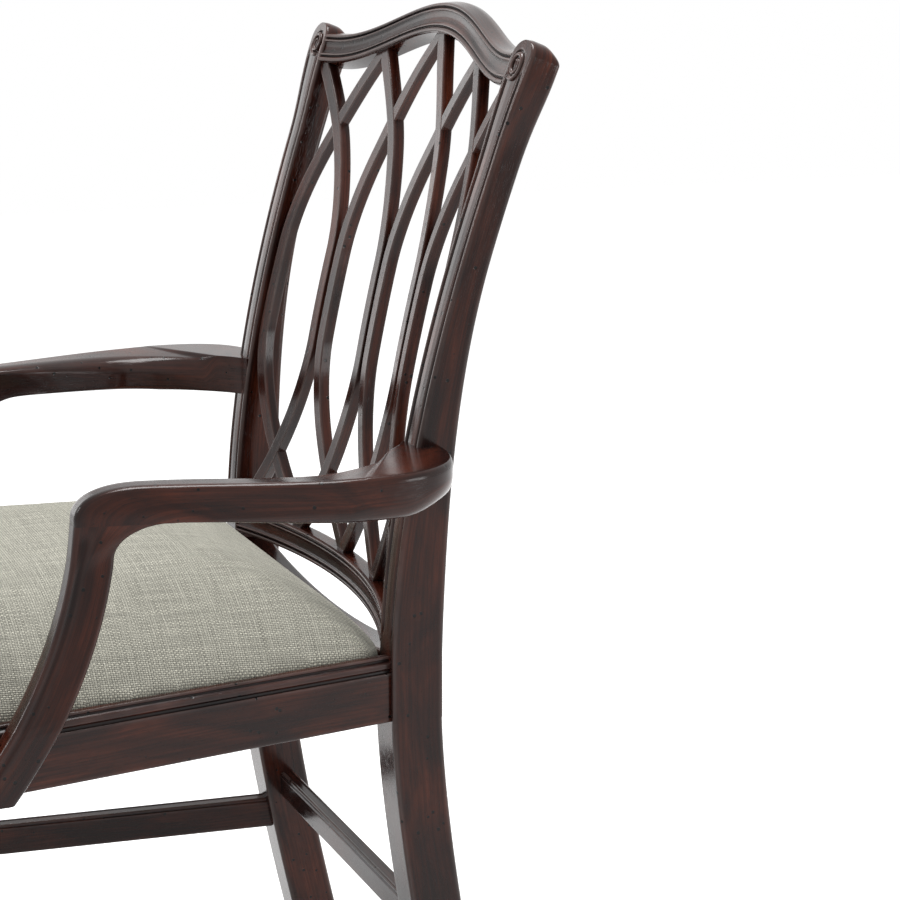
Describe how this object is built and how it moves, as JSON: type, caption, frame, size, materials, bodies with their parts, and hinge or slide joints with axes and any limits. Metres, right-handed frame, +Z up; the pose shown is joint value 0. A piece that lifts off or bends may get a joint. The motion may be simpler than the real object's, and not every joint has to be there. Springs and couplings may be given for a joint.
{
  "type": "trellis back armchair",
  "caption": "Wooden dining armchair with a bowed, open trellis back of crossing curved bars, scrolled arms on swept supports and a lift-out upholstered seat.",
  "frame": {"origin": "on the floor under the middle of the chair's outer box", "axes": "+Z up, front of the chair towards -Y, the sitter's left is +X"},
  "size_m": [0.66, 0.6327, 0.998],
  "materials": {
    "mahogany": "satin lacquer",
    "beech": "bare",
    "screw_steel": "plain",
    "glide_plastic": "matt",
    "jute": "woven",
    "foam": "foam",
    "linen": "basket weave",
    "black_cloth": "thin woven"
  },
  "bodies": {
    "chair_frame": {"rear_post_left": "mahogany", "rear_post_right": "mahogany", "crest_rail": "mahogany", "lower_back_rail": "mahogany", "trellis_bar_1": "mahogany", "trellis_bar_2": "mahogany", "trellis_bar_3": "mahogany", "trellis_bar_4": "mahogany", "trellis_bar_5": "mahogany", "trellis_bar_6": "mahogany", "trellis_bar_7": "mahogany", "trellis_bar_8": "mahogany", "rear_seat_rail": "mahogany", "front_seat_rail": "mahogany", "side_seat_rail_left": "mahogany", "side_seat_rail_right": "mahogany", "front_leg_left": "mahogany", "front_leg_right": "mahogany", "side_stretcher_left": "mahogany", "side_stretcher_right": "mahogany", "rear_stretcher": "mahogany", "arm_left": "mahogany", "arm_right": "mahogany", "arm_support_left": "mahogany", "arm_support_right": "mahogany", "arm_dowels": "beech", "corner_block_front_left": "beech", "corner_block_front_right": "beech", "corner_block_rear_left": "beech", "corner_block_rear_right": "beech", "rear_seat_cleat": "beech", "arm_support_screws": "screw_steel", "corner_block_screws": "screw_steel", "floor_glides": "glide_plastic"},
    "slip_seat": {"slip_frame_rear": "beech", "slip_frame_front": "beech", "slip_frame_left": "beech", "slip_frame_right": "beech", "seat_webbing": "jute", "seat_foam": "foam", "seat_cover": "linen", "dust_cover": "black_cloth"}
  },
  "joints": [
    {"name": "seat_lift", "type": "slide", "parent": "chair_frame", "child": "slip_seat", "axis": [0, 0, 1], "range_m": [0, 0.06]}
  ]
}
